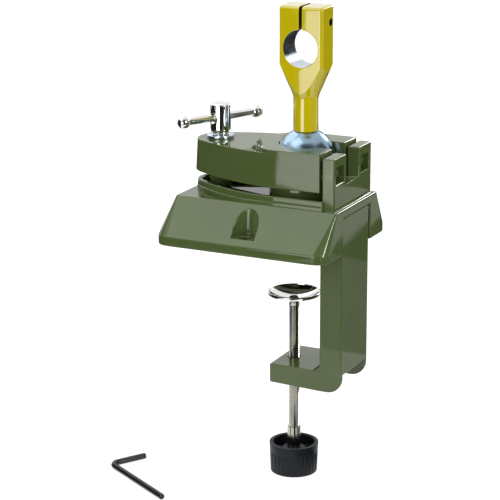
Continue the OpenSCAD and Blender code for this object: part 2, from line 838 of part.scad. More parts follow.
module hex_key() {
    bend_r = 1.5 * key_af;
    corner_d = key_af / cos(30);
    color(black) translate([-key_x, -key_y, knob_end + key_af / 2]) rotate([0, 0, key_yaw]) {
        translate([bend_r, 0, 0]) rotate([0, 90, 0]) rotate([0, 0, 30])
            cylinder(d = corner_d, h = key_long - bend_r, $fn = 6);
        translate([0, bend_r, 0]) rotate([-90, 0, 0]) cylinder(d = corner_d, h = key_short - bend_r, $fn = 6);
        translate([bend_r, bend_r, 0]) rotate([0, 0, 180]) rotate_extrude(angle = 90)
            translate([bend_r, 0]) circle(d = corner_d, $fn = 6);
    }
}

base_casting();
clamp_jaw();
clamp_screw();
screw_washer();
tommy_bar();
bar_end_balls();
screw_nut();
ball_stud();
collar_holder();
pinch_screw();
clamp_arm();
arm_screws();
arm_washers();
spindle();
spindle_bush();
pressure_plate();
plate_rivet();
clamp_knob();
hex_key();
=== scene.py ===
"""Looks of the universal work holder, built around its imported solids."""

import math

import bmesh
import bpy
from mathutils import Matrix, Vector


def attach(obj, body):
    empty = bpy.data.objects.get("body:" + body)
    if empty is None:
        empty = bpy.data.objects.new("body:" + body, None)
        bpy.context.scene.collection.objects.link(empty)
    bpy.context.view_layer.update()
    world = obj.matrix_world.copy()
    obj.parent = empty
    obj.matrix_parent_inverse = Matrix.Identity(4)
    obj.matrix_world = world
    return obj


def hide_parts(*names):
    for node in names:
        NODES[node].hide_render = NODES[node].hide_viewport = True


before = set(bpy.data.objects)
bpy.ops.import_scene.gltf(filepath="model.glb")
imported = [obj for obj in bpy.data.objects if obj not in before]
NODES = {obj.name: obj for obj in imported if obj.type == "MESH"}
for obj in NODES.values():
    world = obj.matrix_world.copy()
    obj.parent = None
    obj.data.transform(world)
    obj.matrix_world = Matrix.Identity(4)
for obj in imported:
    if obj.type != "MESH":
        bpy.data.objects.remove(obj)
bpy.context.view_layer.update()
MM = 0.001
TURN = 2 * math.pi

# Places and sizes that the pieces share, in millimetres
SCREW_X = -44.4
SCREW_R = 4.0
BALL_X = 6.4
BALL_Z = 46.2
BALL_R = 16.0
BALL_CLEAR = 0.15
STUD_R = 3.5
STUD_FOOT = BALL_Z + 15.6
STUD_TOP = 76.2
STUD_CLEAR = 0.05
WASHER_LOW = 52.4
WASHER_TOP = 54.2
WASHER_R = 7.5
BAR_Z = 63.6
BAR_YAW = 62
BAR_HALF = 24.0
BAR_R = 2.0
BAR_BALL_R = 3.5
HOLDER_HALF_W = 12.6
HOLDER_HALF_T = 7.7
HOLDER_TOP = 127.9
NECK_R = 6.7
NECK_TOP = 79.8
SHOULDER_Z = 93.6
TOOL_BORE_Z = 105.7
TOOL_BORE_R = 10.0
COLLAR_SLOT = 1.8
PINCH_Y = 3.0
PINCH_Z = 119.1
PINCH_SEAT_X = -1.8
PINCH_HEAD_HOLE_R = 3.7
PINCH_HOLE_R = 2.05
DECK_Z = 24.6
DECK_END = 36.6
DECK_SIDE_Y = 25.5
POST_OUT = 33.8
POST_TOP = 52.6
JAW_LOW = 33.7
JAW_TOP = 52.4
RING_TOP = 54.3
JAW_END = 25.4
NOSE_START = -10.0
NOSE_REACH = 47.4
NOSE_LEAN = 1.1
NOSE_RISE = 1.2
PLATE_RIM = -29.0
PLATE_R = 14.4
PLATE_T = 1.3
DISH_R = 27.0
DISH_C = PLATE_RIM + math.sqrt(DISH_R ** 2 - PLATE_R ** 2)
DISH_Z = DISH_C - DISH_R
PLATE_UNDER = DISH_Z - PLATE_T
RIVET_R = 1.6
RIVET_DEPTH = 4
SPINDLE_TOP = PLATE_UNDER - 0.15
SPINDLE_R = 3.0
THREAD_ROOT_R = 2.5
THREAD_PITCH = 1.0
THREAD_TOP = -36.4
SPLINES = 10
SPLINE_R = 3.7
SPLINE_ROOT_R = 3.175
SPLINE_TOP = -107.4
SPLINE_END = -123.8
SPINDLE_END = -129.8
FLOOR_Z = -133.2

# One thread tooth as radius and share of the pitch, and one spline as radius and share of its step
THREAD_TOOTH = ((THREAD_ROOT_R, 0.0), (THREAD_ROOT_R, 0.16), (SPINDLE_R, 0.5), (SPINDLE_R, 0.66))
SPLINE_TOOTH = ((SPLINE_ROOT_R, -0.3), (SPLINE_R, -0.17), (SPLINE_R, 0.17),
                (SPLINE_ROOT_R, 0.3), (SPLINE_ROOT_R, 0.7))

# Widths of the rounded edges, in millimetres
POST_ROUND = 0.9
POST_FOOT_FILLET = 1.0
BASE_ROUND = 0.6
DECK_SIDE_ROUND = 0.12
JAW_RING_ROUND = 0.8
JAW_ROUND = 0.5
ARM_ROUND = 0.8
HOLDER_ROUND = 1.9
BORE_RIM_ROUND = 0.3
KNOB_ROUND = 0.2
KEY_ROUND = 0.2
SCREW_ROUND = 0.3
SPLINE_ROUND = 0.1

# The camera of the photograph: places in millimetres, roll in degrees
CAMERA_EYE = (431.2, -930.5, 285.9)
CAMERA_TARGET = (-20.7, -12.6, -5.3)
CAMERA_ROLL = -0.18
CAMERA_LENS = 141.7

# Distances in metres within which points of a mesh count as one
MERGE_DIST = 2e-6
SLIVER_DIST = 5e-6


# Shader groups

def shader_group(name, inputs, outputs):
    """An empty node group with float or colour inputs and outputs."""
    tree = bpy.data.node_groups.new(name, "ShaderNodeTree")
    for label, kind, value in inputs:
        socket = tree.interface.new_socket(label, in_out="INPUT", socket_type=kind)
        socket.default_value = value
    for label, kind in outputs:
        tree.interface.new_socket(label, in_out="OUTPUT", socket_type=kind)
    return tree, tree.nodes.new("NodeGroupInput"), tree.nodes.new("NodeGroupOutput")


def feed(tree, socket, value):
    """Links an input to another node's output, or sets it to a plain value."""
    if isinstance(value, bpy.types.NodeSocket):
        tree.links.new(value, socket)
    else:
        socket.default_value = value


def noise(tree, scale, detail):
    node = tree.nodes.new("ShaderNodeTexNoise")
    node.inputs["Detail"].default_value = detail
    feed(tree, node.inputs["Scale"], scale)
    coords = tree.nodes.new("ShaderNodeTexCoord")
    tree.links.new(coords.outputs["Object"], node.inputs["Vector"])
    return node.outputs["Fac"]


def map_range(tree, value, low, high, to_low=0.0, to_high=1.0):
    node = tree.nodes.new("ShaderNodeMapRange")
    limits = (("From Min", low), ("From Max", high), ("To Min", to_low), ("To Max", to_high))
    for label, limit in limits:
        feed(tree, node.inputs[label], limit)
    tree.links.new(value, node.inputs["Value"])
    return node.outputs["Result"]


def mix_colour(tree, factor, first, second):
    node = tree.nodes.new("ShaderNodeMix")
    node.data_type = "RGBA"
    tree.links.new(factor, node.inputs["Factor"])
    for label, colour in (("A", first), ("B", second)):
        socket = [s for s in node.inputs if s.name == label and s.type == "RGBA"][0]
        feed(tree, socket, colour)
    return [s for s in node.outputs if s.type == "RGBA"][0]


def make_tone_group():
    """Broad and fine variation over a surface, as a tone and a height."""
    tree, ins, outs = shader_group(
        "surface_tone",
        [("Broad", "NodeSocketFloat", 60.0), ("Fine", "NodeSocketFloat", 900.0)],
        [("Tone", "NodeSocketFloat"), ("Height", "NodeSocketFloat")])
    broad = noise(tree, ins.outputs["Broad"], 4.0)
    fine = noise(tree, ins.outputs["Fine"], 1.5)
    tree.links.new(map_range(tree, broad, 0.3, 0.7), outs.inputs["Tone"])
    tree.links.new(fine, outs.inputs["Height"])
    return tree


def make_edge_group():
    """A mask that is bright along outer edges, broken up by noise."""
    tree, ins, outs = shader_group(
        "edge_wear",
        [("Start", "NodeSocketFloat", 0.52), ("Full", "NodeSocketFloat", 0.62)],
        [("Mask", "NodeSocketFloat")])
    geometry = tree.nodes.new("ShaderNodeNewGeometry")
    edge = map_range(tree, geometry.outputs["Pointiness"], ins.outputs["Start"], ins.outputs["Full"])
    broken = map_range(tree, noise(tree, 350.0, 5.0), 0.42, 0.62)
    product = tree.nodes.new("ShaderNodeMath")
    product.operation = "MULTIPLY"
    tree.links.new(edge, product.inputs[0])
    tree.links.new(broken, product.inputs[1])
    tree.links.new(product.outputs["Value"], outs.inputs["Mask"])
    return tree


def make_turned_group():
    """Fine rings of a turned surface about the Z axis, as a height."""
    tree, ins, outs = shader_group(
        "turned_rings",
        [("Rings", "NodeSocketFloat", 900.0)],
        [("Height", "NodeSocketFloat")])
    coords = tree.nodes.new("ShaderNodeTexCoord")
    wave = tree.nodes.new("ShaderNodeTexWave")
    wave.wave_type = "BANDS"
    wave.bands_direction = "Z"
    wave.inputs["Distortion"].default_value = 1.2
    wave.inputs["Detail"].default_value = 2.0
    tree.links.new(ins.outputs["Rings"], wave.inputs["Scale"])
    tree.links.new(coords.outputs["Object"], wave.inputs["Vector"])
    tree.links.new(wave.outputs["Fac"], outs.inputs["Height"])
    return tree


TONE = make_tone_group()
EDGE = make_edge_group()
TURNED = make_turned_group()


# Materials

def place_group(mat, tree, **values):
    node = mat.node_tree.nodes.new("ShaderNodeGroup")
    node.node_tree = tree
    for label, number in values.items():
        node.inputs[label].default_value = number
    return node


def add_bump(mat, height, strength, depth_mm):
    tree = mat.node_tree
    bump = tree.nodes.new("ShaderNodeBump")
    bump.inputs["Strength"].default_value = strength
    bump.inputs["Distance"].default_value = depth_mm * MM
    tree.links.new(height, bump.inputs["Height"])
    tree.links.new(bump.outputs["Normal"], tree.nodes["Principled BSDF"].inputs["Normal"])


def new_material(name, **sockets):
    """A material with its shader's inputs set; an underscore stands for a space in their names."""
    mat = bpy.data.materials.new(name)
    mat.use_nodes = True
    shader = mat.node_tree.nodes["Principled BSDF"]
    for label, value in sockets.items():
        shader.inputs[label.replace("_", " ")].default_value = value
    return mat, mat.node_tree, shader


def gloss_paint(name, colour, shade, pale, coat=0.0):
    """Thick glossy paint on a casting: a faint orange peel, and thinner, paler paint on the edges."""
    mat, tree, shader = new_material(name, Coat_Weight=coat, Coat_Roughness=0.02, Specular_IOR_Level=0.5)
    tone = place_group(mat, TONE, Broad=45.0, Fine=620.0)
    edge = place_group(mat, EDGE, Start=0.53, Full=0.66)
    body = mix_colour(tree, tone.outputs["Tone"], colour, shade)
    worn = map_range(tree, edge.outputs["Mask"], 0.0, 1.0, 0.0, 0.35)
    gloss = map_range(tree, tone.outputs["Tone"], 0.0, 1.0, 0.03, 0.06)
    tree.links.new(mix_colour(tree, worn, body, pale), shader.inputs["Base Color"])
    tree.links.new(gloss, shader.inputs["Roughness"])
    add_bump(mat, tone.outputs["Height"], 0.05, 0.03)
    return mat


def plated_metal(name, colour, shade, roughness, depth_mm=0.004, rings=0.0):
    """Plated steel, with smudged gloss and, where it was turned, fine rings."""
    mat, tree, shader = new_material(name, Metallic=1.0)
    tone = place_group(mat, TONE, Broad=110.0, Fine=1500.0)
    gloss = map_range(tree, tone.outputs["Tone"], 0.0, 1.0, *roughness)
    tree.links.new(mix_colour(tree, tone.outputs["Tone"], colour, shade), shader.inputs["Base Color"])
    tree.links.new(gloss, shader.inputs["Roughness"])
    height = tone.outputs["Height"]
    if rings:
        height = place_group(mat, TURNED, Rings=rings).outputs["Height"]
    add_bump(mat, height, 0.15, depth_mm)
    return mat


def moulded_plastic(name, colour, shade, pale):
    """Moulded plastic with a fine grain, rubbed paler on its edges."""
    mat, tree, shader = new_material(name, Specular_IOR_Level=0.25)
    tone = place_group(mat, TONE, Broad=160.0, Fine=2600.0)
    edge = place_group(mat, EDGE, Start=0.53, Full=0.7)
    body = mix_colour(tree, tone.outputs["Tone"], colour, shade)
    worn = map_range(tree, edge.outputs["Mask"], 0.0, 1.0, 0.0, 0.5)
    gloss = map_range(tree, tone.outputs["Height"], 0.3, 0.7, 0.36, 0.5)
    tree.links.new(mix_colour(tree, worn, body, pale), shader.inputs["Base Color"])
    tree.links.new(gloss, shader.inputs["Roughness"])
    add_bump(mat, tone.outputs["Height"], 0.25, 0.03)
    return mat


GREEN = gloss_paint("green_gloss_paint", (0.064, 0.091, 0.028, 1), (0.057, 0.082, 0.025, 1),
                    (0.11, 0.14, 0.06, 1))
YELLOW = gloss_paint("yellow_gloss_paint", (0.47, 0.385, 0.001, 1), (0.44, 0.36, 0.001, 1),
                     (0.66, 0.58, 0.03, 1), coat=1.0)
CHROME = plated_metal("polished_chrome", (0.80, 0.80, 0.79, 1), (0.76, 0.76, 0.75, 1), (0.03, 0.07),
                      depth_mm=0.002)
ZINC = plated_metal("zinc_plate", (0.62, 0.68, 0.75, 1), (0.52, 0.58, 0.66, 1), (0.20, 0.32))
BALL_STEEL = plated_metal("turned_zinc_ball", (0.29, 0.41, 0.51, 1), (0.24, 0.36, 0.46, 1), (0.18, 0.26),
                          rings=420.0)
NICKEL = plated_metal("nickel_plate", (0.50, 0.49, 0.44, 1), (0.43, 0.42, 0.38, 1), (0.12, 0.20),
                      depth_mm=0.002)
BORE_METAL = plated_metal("bored_metal", (0.60, 0.66, 0.74, 1), (0.52, 0.58, 0.67, 1), (0.12, 0.20))
BLACK_PLASTIC = moulded_plastic("black_plastic", (0.006, 0.009, 0.012, 1), (0.004, 0.006, 0.009, 1),
                                (0.025, 0.03, 0.035, 1))
# Black oxide, the hex key's own finish, also given to the holder's slot and cross holes as painted shade
BLACK_OXIDE_AND_HOLE_SHADE = plated_metal("black_oxide_and_hole_shade", (0.055, 0.055, 0.06, 1), (0.035, 0.035, 0.04, 1), (0.30, 0.45))


# Mesh helpers

def loose_object(name, bm):
    """Turns a bmesh into an object of the scene."""
    mesh = bpy.data.meshes.new(name)
    bm.to_mesh(mesh)
    bm.free()
    piece = bpy.data.objects.new(name, mesh)
    bpy.context.scene.collection.objects.link(piece)
    return piece


def add_piece(name, bm, body, mat, nodes, sharp=38, weighted=False):
    """Turns a bmesh into a finished piece that stands for CAD nodes."""
    piece = loose_object(name, bm)
    piece.data.shade_smooth()
    piece.data.set_sharp_from_angle(angle=math.radians(sharp))
    piece.data.materials.append(mat)
    if weighted:
        flats = piece.modifiers.new("flat_faces_stay_flat", "WEIGHTED_NORMAL")
        flats.keep_sharp = True
        flats.weight = 90
    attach(piece, body)
    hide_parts(*nodes)
    return piece


def everything(bm):
    return bm.verts[:] + bm.edges[:] + bm.faces[:]


def moved(bm, x=0.0, y=0.0, z=0.0, verts=None):
    bmesh.ops.translate(bm, verts=verts or bm.verts, vec=(x * MM, y * MM, z * MM))
    return bm


def rolled(bm, degrees, axis):
    turn = Matrix.Rotation(math.radians(degrees), 3, axis)
    bmesh.ops.rotate(bm, cent=(0, 0, 0), matrix=turn, verts=bm.verts)
    return bm


def spun(points, steps, closed=False, **how):
    """Bmesh of a line through points in millimetres, taken once round the Z axis."""
    bm = bmesh.new()
    verts = [bm.verts.new((x * MM, y * MM, z * MM)) for x, y, z in points]
    pairs = list(zip(verts, verts[1:]))
    if closed:
        pairs.append((verts[-1], verts[0]))
    edges = [bm.edges.new(pair) for pair in pairs]
    bmesh.ops.spin(bm, geom=verts + edges, cent=(0, 0, 0), axis=(0, 0, 1), angle=TURN, steps=steps, **how)
    return bm


def turned(profile, steps, closed=False):
    """Bmesh of a profile of (radius, height) points in millimetres, turned about the Z axis."""
    bm = spun([(r, 0, z) for r, z in profile], steps, closed, use_merge=True)
    bmesh.ops.remove_doubles(bm, verts=bm.verts, dist=1e-7)
    bmesh.ops.recalc_face_normals(bm, faces=bm.faces)
    return bm


def arc(radius, start, end, steps, cr=0.0, cz=0.0):
    """Profile points on an arc, angles in degrees from the radius axis towards +Z."""
    points = []
    for i in range(steps + 1):
        a = math.radians(start + (end - start) * i / steps)
        points.append((cr + radius * math.cos(a), cz + radius * math.sin(a)))
    return points


def soften_edges(bm, width, segments=3, angle=28, choose=None, hollow=False):
    """Rounds the outer edges that are sharper than an angle, or fills the hollow ones.

    The width is in millimetres, and choose picks among those edges."""
    limit = math.radians(angle)
    side = -1 if hollow else 1
    edges = [e for e in bm.edges if e.is_manifold and side * e.calc_face_angle_signed() > limit]
    edges = [e for e in edges if not choose or choose(e)]
    bmesh.ops.bevel(bm, geom=edges, offset=width * MM, offset_type="OFFSET", segments=segments, profile=0.5,
                    affect="EDGES", material=-1, clamp_overlap=False, loop_slide=True)
    return bm


def softened(node, width, segments=3, choose=None):
    """Merged copy of a CAD node with its sharp edges rounded by width, in millimetres.

    A seam along its middle keeps each flat that goes round a hole in two faces."""
    bm = bmesh.new()
    bm.from_mesh(NODES[node].data)
    bmesh.ops.remove_doubles(bm, verts=bm.verts, dist=MERGE_DIST)
    halves = bmesh.ops.bisect_plane(bm, geom=everything(bm), dist=1e-6, plane_co=(0, 0, 0), plane_no=(0, 1, 0))
    for item in halves["geom_cut"]:
        if isinstance(item, bmesh.types.BMEdge):
            item.seam = True
    bmesh.ops.dissolve_limit(bm, angle_limit=math.radians(0.05), verts=bm.verts, edges=bm.edges,
                             delimit={"SEAM"})
    return soften_edges(bm, width, segments, choose=choose)


def carved(bm, *steps):
    """A shape met with or cut by others: each step is an operation and the bmesh that it uses."""
    piece = loose_object("carved", bm)
    tools = []
    for operation, tool in steps:
        tools.append(loose_object("carving_tool", tool))
        cut = piece.modifiers.new("carve", "BOOLEAN")
        cut.operation = operation
        cut.solver = "EXACT"
        cut.object = tools[-1]
    graph = bpy.context.evaluated_depsgraph_get()
    mesh = bpy.data.meshes.new_from_object(piece.evaluated_get(graph))
    result = bmesh.new()
    result.from_mesh(mesh)
    bpy.data.meshes.remove(mesh)
    for done in [piece] + tools:
        old = done.data
        bpy.data.objects.remove(done)
        bpy.data.meshes.remove(old)
    bmesh.ops.remove_doubles(result, verts=result.verts, dist=MERGE_DIST)
    bmesh.ops.dissolve_degenerate(result, dist=SLIVER_DIST, edges=result.edges)
    return result


def joined(*parts):
    """One bmesh of several closed shapes."""
    whole = bmesh.new()
    for part in parts:
        mesh = bpy.data.meshes.new("shape")
        part.to_mesh(mesh)
        part.free()
        whole.from_mesh(mesh)
        bpy.data.meshes.remove(mesh)
    return whole


# Stage

def stage_card(name, centre, aim, width, height, mat):
    """A flat card that stands beside the part and faces a point."""
    bm = bmesh.new()
    bmesh.ops.create_grid(bm, x_segments=1, y_segments=1, size=0.5)
    bmesh.ops.scale(bm, vec=(width * MM, height * MM, 1), verts=bm.verts)
    turn = (Vector(aim) - Vector(centre)).to_track_quat("Z", "Y").to_matrix()
    bmesh.ops.rotate(bm, matrix=turn, verts=bm.verts)
    card = loose_object(name, moved(bm, *centre))
    card.data.materials.append(mat)
    return card


def mirrored_card(name, centre, aim, width, height, mat):
    """A card that only reflections show, as a flag that stands outside the picture does."""
    card = stage_card(name, centre, aim, width, height, mat)
    card.visible_camera = False
    card.visible_diffuse = False
    card.visible_shadow = False


def floor_cloth(name, low, high, mat):
    """A cloth that lies on the floor between two corners and only reflections show."""
    x, y = (low[0] + high[0]) / 2, (low[1] + high[1]) / 2
    mirrored_card(name, (x, y, FLOOR_Z + 1), (x, y, 500), high[0] - low[0], high[1] - low[1], mat)


def softbox(name, centre, aim, width, height, power, lean=0.0):
    """A lamp that faces a point, leant sideways by an angle in degrees."""
    lamp = bpy.data.lights.new(name, "AREA")
    lamp.shape = "RECTANGLE"
    lamp.size = width * MM
    lamp.size_y = height * MM
    lamp.energy = power
    holder = bpy.data.objects.new(name, lamp)
    holder.location = Vector(centre) * MM
    turn = (Vector(aim) - Vector(centre)).to_track_quat("-Z", "Y").to_matrix()
    holder.rotation_euler = (turn @ Matrix.Rotation(math.radians(lean), 3, "Z")).to_euler()
    bpy.context.scene.collection.objects.link(holder)


def shown_strength(tree, strength):
    """A strength that camera, mirror and glass rays see, and none for the rest."""
    rays = tree.nodes.new("ShaderNodeLightPath")
    total = rays.outputs["Is Camera Ray"]
    for label in ("Is Glossy Ray", "Is Transmission Ray"):
        either = tree.nodes.new("ShaderNodeMath")
        either.operation = "MAXIMUM"
        tree.links.new(total, either.inputs[0])
        tree.links.new(rays.outputs[label], either.inputs[1])
        total = either.outputs["Value"]
    return map_range(tree, total, 0.0, 1.0, 0.0, strength)


def white_floor():
    """White paper: a plain white to the camera and in reflections, with the part's shadow kept."""
    mat, tree, shader = new_material("white_paper", Roughness=0.9, Specular_IOR_Level=0.0)
    shader.inputs["Base Color"].default_value = (0.3, 0.3, 0.3, 1)
    glow = tree.nodes.new("ShaderNodeEmission")
    tree.links.new(shown_strength(tree, 0.8), glow.inputs["Strength"])
    both = tree.nodes.new("ShaderNodeAddShader")
    tree.links.new(shader.outputs["BSDF"], both.inputs[0])
    tree.links.new(glow.outputs["Emission"], both.inputs[1])
    tree.links.new(both.outputs["Shader"], tree.nodes["Material Output"].inputs["Surface"])
    stage_card("studio_floor", (0, 0, FLOOR_Z - 0.1), (0, 0, 500), 6000, 6000, mat)


def card_finish(name, level):
    mat, _, shader = new_material(name, Roughness=1.0, Specular_IOR_Level=0.0)
    shader.inputs["Base Color"].default_value = (level, level, level, 1)
    return mat


def photo_camera():
    scene = bpy.context.scene
    camera = bpy.data.cameras.new("photo_camera")
    camera.sensor_width = 36
    camera.lens = CAMERA_LENS
    camera.clip_end = 10
    eye = Vector(CAMERA_EYE) * MM
    target = Vector(CAMERA_TARGET) * MM
    spot = bpy.data.objects.new("photo_camera", camera)
    turn = (target - eye).to_track_quat("-Z", "Y").to_matrix().to_4x4()
    roll = Matrix.Rotation(math.radians(CAMERA_ROLL), 4, "Z")
    spot.matrix_world = Matrix.Translation(eye) @ turn @ roll
    scene.collection.objects.link(spot)
    scene.camera = spot


def white_world():
    world = bpy.data.worlds.new("studio")
    bpy.context.scene.world = world
    world.use_nodes = True
    sky = world.node_tree.nodes["Background"]
    sky.inputs["Color"].default_value = (1, 1, 1, 1)
    sky.inputs["Strength"].default_value = 1.0


def make_stage():
    """Camera, white surroundings, the cloths and cards that the paint mirrors, and the lamps."""
    bpy.context.scene.view_settings.view_transform = "Standard"
    photo_camera()
    white_world()
    white_floor()
    dark = card_finish("dark_card", 0.02)
    dim = card_finish("dim_card", 0.15)
    grey = card_finish("grey_card", 0.4)
    mirrored_card("left_card", (-480, -330, 100), (150, 30, 100), 900, 470, dark)
    floor_cloth("left_cloth", (-1000, -680), (-170, 300), dark)
    floor_cloth("front_cloth", (-300, -450), (15, -230), grey)
    floor_cloth("camera_cloth", (20, -1300), (1300, -200), dark)
    floor_cloth("camera_right_cloth", (230, -200), (1300, 20), dark)
    floor_cloth("knob_cloth", (20, -80), (80, 20), dark)
    floor_cloth("right_near_cloth", (40, 20), (370, 195), grey)
    floor_cloth("right_cloth", (40, 195), (370, 400), dim)
    floor_cloth("back_cloth", (-1000, 300), (-125, 1000), dark)
    floor_cloth("back_mid_cloth", (-125, 400), (235, 900), dark)
    floor_cloth("right_far_cloth", (235, 400), (600, 612), grey)
    floor_cloth("right_end_cloth", (235, 612), (600, 1000), dark)
    floor_cloth("right_side_cloth", (370, 20), (1300, 400), dim)
    mirrored_card("camera_card", (560, -1150, 300), (0, 0, 20), 1250, 900, dark)
    mirrored_card("ceiling_card", (330, -500, 760), (0, 0, 40), 800, 500, dim)
    mirrored_card("right_card", (760, 60, 420), (0, 60, 420), 1150, 1100, dim)
    mirrored_card("horizon_card", (-420, 900, 30), (-420, 0, 30), 700, 320, dark)
    mirrored_card("back_card", (440, 760, 90), (440, 0, 90), 340, 440, dark)
    softbox("front_softbox", (-56, -400, 23.5), (-56, 0, 23.5), 230, 214, 0.505, -6.3)
    softbox("top_softbox", (-380, -330, 880), (0, 0, 0), 560, 560, 1.3)
    softbox("sky_softbox", (-560, 340, 610), (0, 0, 40), 900, 600, 2.0)
    softbox("right_softbox", (613, -225, 262), (35, -37, 8), 150, 300, 1.8)
    softbox("back_softbox", (125, 783, 372), (20, 0, 30), 210, 130, 1.3)


make_stage()


# Castings

def near(edge, x=None, z=None):
    """True for an edge that lies at a place along X, at a height, or both, in millimetres."""
    reach = 0.1
    return all((x is None or abs(v.co.x / MM - x) < reach) and (z is None or abs(v.co.z / MM - z) < reach)
               for v in edge.verts)


def base_casting():
    """Crisp along the deck, rounder on the posts and the deck's end, with a fillet at the posts' foot."""
    def on_deck_side(edge):
        return near(edge, z=DECK_Z) and all(abs(v.co.y / MM) > DECK_SIDE_Y for v in edge.verts)

    def on_end_or_post(edge):
        return near(edge, DECK_END, DECK_Z) or near(edge, z=POST_TOP)

    def on_post_foot(edge):
        return near(edge, POST_OUT, DECK_Z)

    def elsewhere(edge):
        return not (on_deck_side(edge) or on_end_or_post(edge))

    bm = softened("base_casting", POST_ROUND, 4, choose=on_end_or_post)
    soften_edges(bm, POST_FOOT_FILLET, 4, choose=on_post_foot, hollow=True)
    soften_edges(bm, BASE_ROUND, choose=elsewhere)
    return soften_edges(bm, DECK_SIDE_ROUND, 2, choose=on_deck_side)


def clamp_jaw():
    """Rounded, with a lean on its nose and an underside that rises towards it."""
    bm = softened("clamp_jaw", JAW_RING_ROUND, 4, choose=lambda e: near(e, JAW_END, RING_TOP))
    soften_edges(bm, JAW_ROUND, choose=lambda e: not near(e, JAW_END, RING_TOP))
    for vert in bm.verts:
        x, z = vert.co.x / MM, vert.co.z / MM
        to_nose = max(0.0, (NOSE_START - x) / NOSE_REACH)
        up = (z - JAW_LOW) / (JAW_TOP - JAW_LOW)
        vert.co.x += NOSE_LEAN * (up - 0.5) * to_nose * MM
        vert.co.z += NOSE_RISE * max(0.0, 1 - up) * to_nose * MM
    return bm


def round_bar(radius, start, end, axis, steps):
    """A round bar between two heights, laid over by a quarter turn about an axis."""
    return rolled(turned([(0, start), (radius, start), (radius, end), (0, end)], steps), 90, axis)


def block(width, depth, low, high):
    bm = bmesh.new()
    bmesh.ops.create_cube(bm, size=1.0)
    bmesh.ops.scale(bm, vec=(width * MM, depth * MM, (high - low) * MM), verts=bm.verts)
    return moved(bm, z=(low + high) / 2)


def holder_cone():
    """Neck and flare as one turned shape, hollow below to sit on the ball, with a soft start to the flare."""
    hollow_r = BALL_R + BALL_CLEAR
    stud_r = STUD_R + STUD_CLEAR
    stud_end = STUD_TOP + 0.3
    above = HOLDER_TOP + 5
    grow = (HOLDER_HALF_W - NECK_R) / (SHOULDER_Z - NECK_TOP)
    wide_r = 1.4 * HOLDER_HALF_W
    wide_z = NECK_TOP + (wide_r - NECK_R) / grow
    start = math.degrees(math.acos(stud_r / hollow_r))
    end = math.degrees(math.acos((NECK_R - 0.3) / hollow_r))
    hollow = arc(hollow_r, start, end, 4, cz=BALL_Z)
    flare = [(NECK_R, NECK_TOP - 1.2), (NECK_R + 0.14, NECK_TOP - 0.3), (NECK_R + 0.5, NECK_TOP + 0.9)]
    profile = [(0, stud_end), (stud_r, stud_end)] + hollow + [(NECK_R, hollow[-1][1] + 0.35)]
    profile += flare + [(wide_r, wide_z), (wide_r, above), (0, above)]
    return turned(profile, 96)


def collar_holder():
    """Flare met with a rounded block, then bored, slotted and drilled across for its pinch screw.

    The bore shows bare metal; the slot and the cross holes get black oxide as painted shade, dark as they lie in
    deep shadow."""
    reach = 20
    touch = 0.02

    def at_top(edge):
        return max(v.co.z for v in edge.verts) > HOLDER_TOP * MM - 1e-5

    def from_bore(point):
        return math.hypot(point.x, point.z - TOOL_BORE_Z * MM) / MM - TOOL_BORE_R

    def on_bore_rim(edge):
        return all(from_bore(v.co) < touch and abs(v.co.y) > (HOLDER_HALF_T - 0.05) * MM for v in edge.verts)

    slab = block(2 * HOLDER_HALF_W, 2 * HOLDER_HALF_T, BALL_Z, HOLDER_TOP)
    soften_edges(slab, HOLDER_ROUND, 6, 40, at_top)
    bore = moved(round_bar(TOOL_BORE_R, -reach, reach, "X", 96), z=TOOL_BORE_Z)
    slot = block(COLLAR_SLOT, 2 * reach, TOOL_BORE_Z, HOLDER_TOP + reach)
    head_hole = round_bar(PINCH_HEAD_HOLE_R, -reach, PINCH_SEAT_X - BALL_X, "Y", 40)
    cross_hole = round_bar(PINCH_HOLE_R, -reach, reach, "Y", 40)
    for hole in (head_hole, cross_hole):
        moved(hole, 0, PINCH_Y, PINCH_Z)
    cuts = [("DIFFERENCE", tool) for tool in (bore, slot, head_hole, cross_hole)]
    bm = carved(holder_cone(), ("INTERSECT", slab), *cuts)
    soften_edges(bm, BORE_RIM_ROUND, 2, 40, on_bore_rim)
    for face in bm.faces:
        middle = face.calc_center_median()
        in_bore = from_bore(middle) < touch and abs(middle.y) < (HOLDER_HALF_T - 0.28) * MM
        across = math.hypot(middle.y - PINCH_Y * MM, middle.z - PINCH_Z * MM) / MM
        in_hole = across < PINCH_HEAD_HOLE_R + touch and abs(middle.x) / MM < HOLDER_HALF_W - 0.05
        in_slot = abs(middle.x) / MM < COLLAR_SLOT / 2 + touch and middle.z / MM > TOOL_BORE_Z
        # Faces in the slot and the cross holes take black oxide as painted shade
        face.material_index = 1 if in_bore else 2 if in_hole or in_slot else 0
    return moved(bm, BALL_X)


add_piece("base_casting_soft", base_casting(), "base", GREEN, ["base_casting"], weighted=True)
add_piece("clamp_jaw_soft", clamp_jaw(), "jaw", GREEN, ["clamp_jaw"], weighted=True)
add_piece("clamp_arm_soft", softened("clamp_arm", ARM_ROUND), "base", GREEN, ["clamp_arm"],
          weighted=True)
HOLDER = add_piece("collar_holder_soft", collar_holder(), "holder", YELLOW, ["collar_holder"],
                   sharp=18, weighted=True)
HOLDER.data.materials.append(BORE_METAL)
# Black oxide on the holder is painted shade for its slot and cross holes
HOLDER.data.materials.append(BLACK_OXIDE_AND_HOLE_SHADE)
add_piece("clamp_knob_soft", softened("clamp_knob", KNOB_ROUND, 2), "spindle", BLACK_PLASTIC,
          ["clamp_knob"], weighted=True)
add_piece("hex_key_soft", softened("hex_key", KEY_ROUND, 2), "key", BLACK_OXIDE_AND_HOLE_SHADE, ["hex_key"],
          weighted=True)
add_piece("clamp_screw_soft", softened("clamp_screw", SCREW_ROUND), "screw", CHROME, ["clamp_screw"],
          weighted=True)


# Turned pieces

